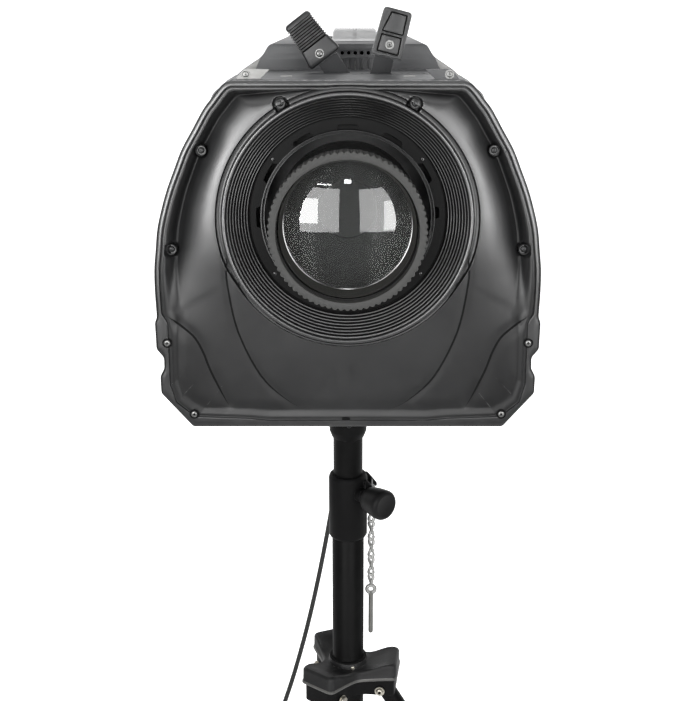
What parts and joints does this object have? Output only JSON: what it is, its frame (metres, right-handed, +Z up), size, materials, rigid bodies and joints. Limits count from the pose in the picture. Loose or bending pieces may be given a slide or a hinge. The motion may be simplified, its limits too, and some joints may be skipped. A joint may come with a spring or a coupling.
{
  "type": "followspot on a tripod stand",
  "caption": "Followspot with a focusing lens, iris and shutter levers, held in a tilting yoke on a telescopic tripod stand.",
  "frame": {"origin": "middle of the object's footprint, on the floor between the three feet", "axes": "+Z up, the light leaves towards -Y, +X to the right as seen from in front"},
  "size_m": [0.7758, 0.7434, 1.4013],
  "materials": {
    "moulded_black": "satin moulded black",
    "black_paint": "black powder coat",
    "grey_paint": "fine dark grey powder coat",
    "black_rubber": "matt",
    "grip_plastic": "matt moulded black",
    "lens_tube_black": "matt anodised black",
    "bright_steel": "zinc plated",
    "aluminium": "as machined",
    "clear_glass": "polished, coated",
    "display_glass": "smoked"
  },
  "bodies": {
    "stand": {"outer_tube": "black_paint", "lock_collar": "black_paint", "leg_hub": "black_paint", "power_cord": "black_rubber", "cord_coil": "black_rubber", "cord_plug": "black_rubber"},
    "leg_a": {"leg_a": "black_paint", "foot_a": "black_rubber"},
    "leg_b": {"leg_b": "black_paint", "foot_b": "black_rubber"},
    "leg_c": {"leg_c": "black_paint", "foot_c": "black_rubber"},
    "brace_a": {"brace_a": "black_paint"},
    "brace_b": {"brace_b": "black_paint"},
    "brace_c": {"brace_c": "black_paint"},
    "spreader": {"spreader_collar": "black_paint"},
    "lock_knob": {"lock_knob": "grip_plastic"},
    "keeper": {"keeper_chain": "bright_steel", "keeper_pin": "bright_steel"},
    "mast": {"inner_tube": "black_paint"},
    "yoke": {"stand_socket": "black_paint", "yoke_bolt": "bright_steel", "yoke": "black_paint"},
    "tilt_knob_right": {"tilt_knob_right": "grip_plastic"},
    "tilt_knob_left": {"tilt_knob_left": "grip_plastic"},
    "head": {"front_cover": "moulded_black", "ribbed_baffle": "moulded_black", "bulkhead_ring": "moulded_black", "lens_barrel": "lens_tube_black", "rear_lens": "clear_glass", "gate_plate": "black_paint", "condenser_tube": "aluminium", "led_module": "aluminium", "heatsink": "aluminium", "power_supply": "aluminium", "lower_housing": "grey_paint", "front_top_cover": "grey_paint", "top_cover": "grey_paint", "carry_handle": "moulded_black", "rear_panel": "black_paint", "control_panel": "moulded_black", "display_window": "display_glass", "signal_sockets": "bright_steel", "rear_handle_right": "grip_plastic", "rear_handle_left": "grip_plastic", "cord_gland": "black_rubber"},
    "focus_ring": {"focus_ring": "grip_plastic"},
    "lens_cell": {"lens_cell": "lens_tube_black", "front_lens": "clear_glass", "retaining_ring": "lens_tube_black"},
    "iris": {"iris_ring": "aluminium", "iris_lever": "black_paint", "iris_grip": "grip_plastic"},
    "shutter": {"shutter_lever": "black_paint", "shutter_grip": "grip_plastic"},
    "fan": {"cooling_fan": "black_rubber"},
    "power_switch": {"power_switch": "grip_plastic"},
    "menu_button_1": {"menu_button_1": "grip_plastic"},
    "menu_button_2": {"menu_button_2": "grip_plastic"},
    "menu_button_3": {"menu_button_3": "grip_plastic"}
  },
  "joints": [
    {"name": "leg_a_fold", "type": "hinge", "parent": "stand", "child": "leg_a", "pos_m": [-0.02943, -0.03312, 0.566], "axis": [0.1392, 0.9903, 0], "range_deg": [0, 22]},
    {"name": "brace_a_fold", "type": "hinge", "parent": "leg_a", "child": "brace_a", "pos_m": [0.11449, -0.03941, 0.33723], "axis": [0.1392, 0.9903, 0], "range_deg": [-44.87, 0]},
    {"name": "leg_b_fold", "type": "hinge", "parent": "stand", "child": "leg_b", "pos_m": [-0.08948, 0.0138, 0.566], "axis": [-0.9272, -0.3746, 0], "range_deg": [0, 22]},
    {"name": "brace_b_fold", "type": "hinge", "parent": "leg_b", "child": "brace_b", "pos_m": [-0.156, 0.14158, 0.33723], "axis": [-0.9272, -0.3746, 0], "range_deg": [-44.87, 0]},
    {"name": "leg_c_fold", "type": "hinge", "parent": "stand", "child": "leg_c", "pos_m": [-0.10009, -0.06167, 0.566], "axis": [0.788, -0.6157, 0], "range_deg": [0, 22]},
    {"name": "brace_c_fold", "type": "hinge", "parent": "leg_c", "child": "brace_c", "pos_m": [-0.1775, -0.18317, 0.33723], "axis": [0.788, -0.6157, 0], "range_deg": [-44.87, 0]},
    {"name": "spreader_slide", "type": "slide", "parent": "stand", "child": "spreader", "axis": [0, 0, 1], "range_m": [-0.0785, 0]},
    {"name": "lock_knob_turn", "type": "hinge", "parent": "stand", "child": "lock_knob", "pos_m": [-0.04408, -0.06147, 0.832], "axis": [0.6428, -0.766, 0], "continuous": true},
    {"name": "keeper_swing", "type": "hinge", "parent": "stand", "child": "keeper", "pos_m": [-0.044, -0.023, 0.838], "axis": [1, 0, 0], "range_deg": [-30, 30]},
    {"name": "column_lift", "type": "slide", "parent": "stand", "child": "mast", "axis": [0, 0, 1], "range_m": [-0.04, 0.4]},
    {"name": "pan_turn", "type": "hinge", "parent": "mast", "child": "yoke", "pos_m": [-0.073, -0.027, 0.915], "axis": [0, 0, 1], "continuous": true},
    {"name": "head_tilt", "type": "hinge", "parent": "yoke", "child": "head", "pos_m": [-0.073, -0.027, 1.16], "axis": [1, 0, 0], "range_deg": [-25, 30]},
    {"name": "right_tilt_knob_turn", "type": "hinge", "parent": "yoke", "child": "tilt_knob_right", "pos_m": [0.117, -0.027, 1.16], "axis": [1, 0, 0], "continuous": true},
    {"name": "left_tilt_knob_turn", "type": "hinge", "parent": "yoke", "child": "tilt_knob_left", "pos_m": [-0.263, -0.027, 1.16], "axis": [-1, 0, 0], "continuous": true},
    {"name": "focus_turn", "type": "hinge", "parent": "head", "child": "focus_ring", "pos_m": [-0.073, -0.268, 1.2], "axis": [0, -1, 0], "range_deg": [-180, 90]},
    {"name": "lens_slide", "type": "slide", "parent": "head", "child": "lens_cell", "axis": [0, -1, 0], "range_m": [-0.02, 0.01]},
    {"name": "iris_swing", "type": "hinge", "parent": "head", "child": "iris", "pos_m": [-0.073, -0.146, 1.2], "axis": [0, 1, 0], "range_deg": [-1, 10]},
    {"name": "shutter_swing", "type": "hinge", "parent": "head", "child": "shutter", "pos_m": [-0.064, -0.137, 1.31], "axis": [0, 1, 0], "range_deg": [0, 22]},
    {"name": "fan_spin", "type": "hinge", "parent": "head", "child": "fan", "pos_m": [-0.073, 0.185, 1.2], "axis": [0, 1, 0], "continuous": true},
    {"name": "power_switch_rock", "type": "hinge", "parent": "head", "child": "power_switch", "pos_m": [-0.113, 0.311, 1.08], "axis": [1, 0, 0], "range_deg": [-8, 0]},
    {"name": "menu_1_press", "type": "slide", "parent": "head", "child": "menu_button_1", "axis": [0, -1, 0], "range_m": [0, 0.0012], "stiffness_N_per_m": 400},
    {"name": "menu_2_press", "type": "slide", "parent": "head", "child": "menu_button_2", "axis": [0, -1, 0], "range_m": [0, 0.0012], "stiffness_N_per_m": 400},
    {"name": "menu_3_press", "type": "slide", "parent": "head", "child": "menu_button_3", "axis": [0, -1, 0], "range_m": [0, 0.0012], "stiffness_N_per_m": 400}
  ],
  "couplings": [
    {"joint": "brace_a_fold", "follows": "leg_a_fold", "ratio": -2.0393},
    {"joint": "leg_b_fold", "follows": "leg_a_fold", "ratio": 1},
    {"joint": "brace_b_fold", "follows": "leg_a_fold", "ratio": -2.0393},
    {"joint": "leg_c_fold", "follows": "leg_a_fold", "ratio": 1},
    {"joint": "brace_c_fold", "follows": "leg_a_fold", "ratio": -2.0393},
    {"joint": "spreader_slide", "follows": "leg_a_fold", "m_per_rad": -0.20324},
    {"joint": "lens_slide", "follows": "focus_turn", "m_per_rad": 0.0063662}
  ]
}
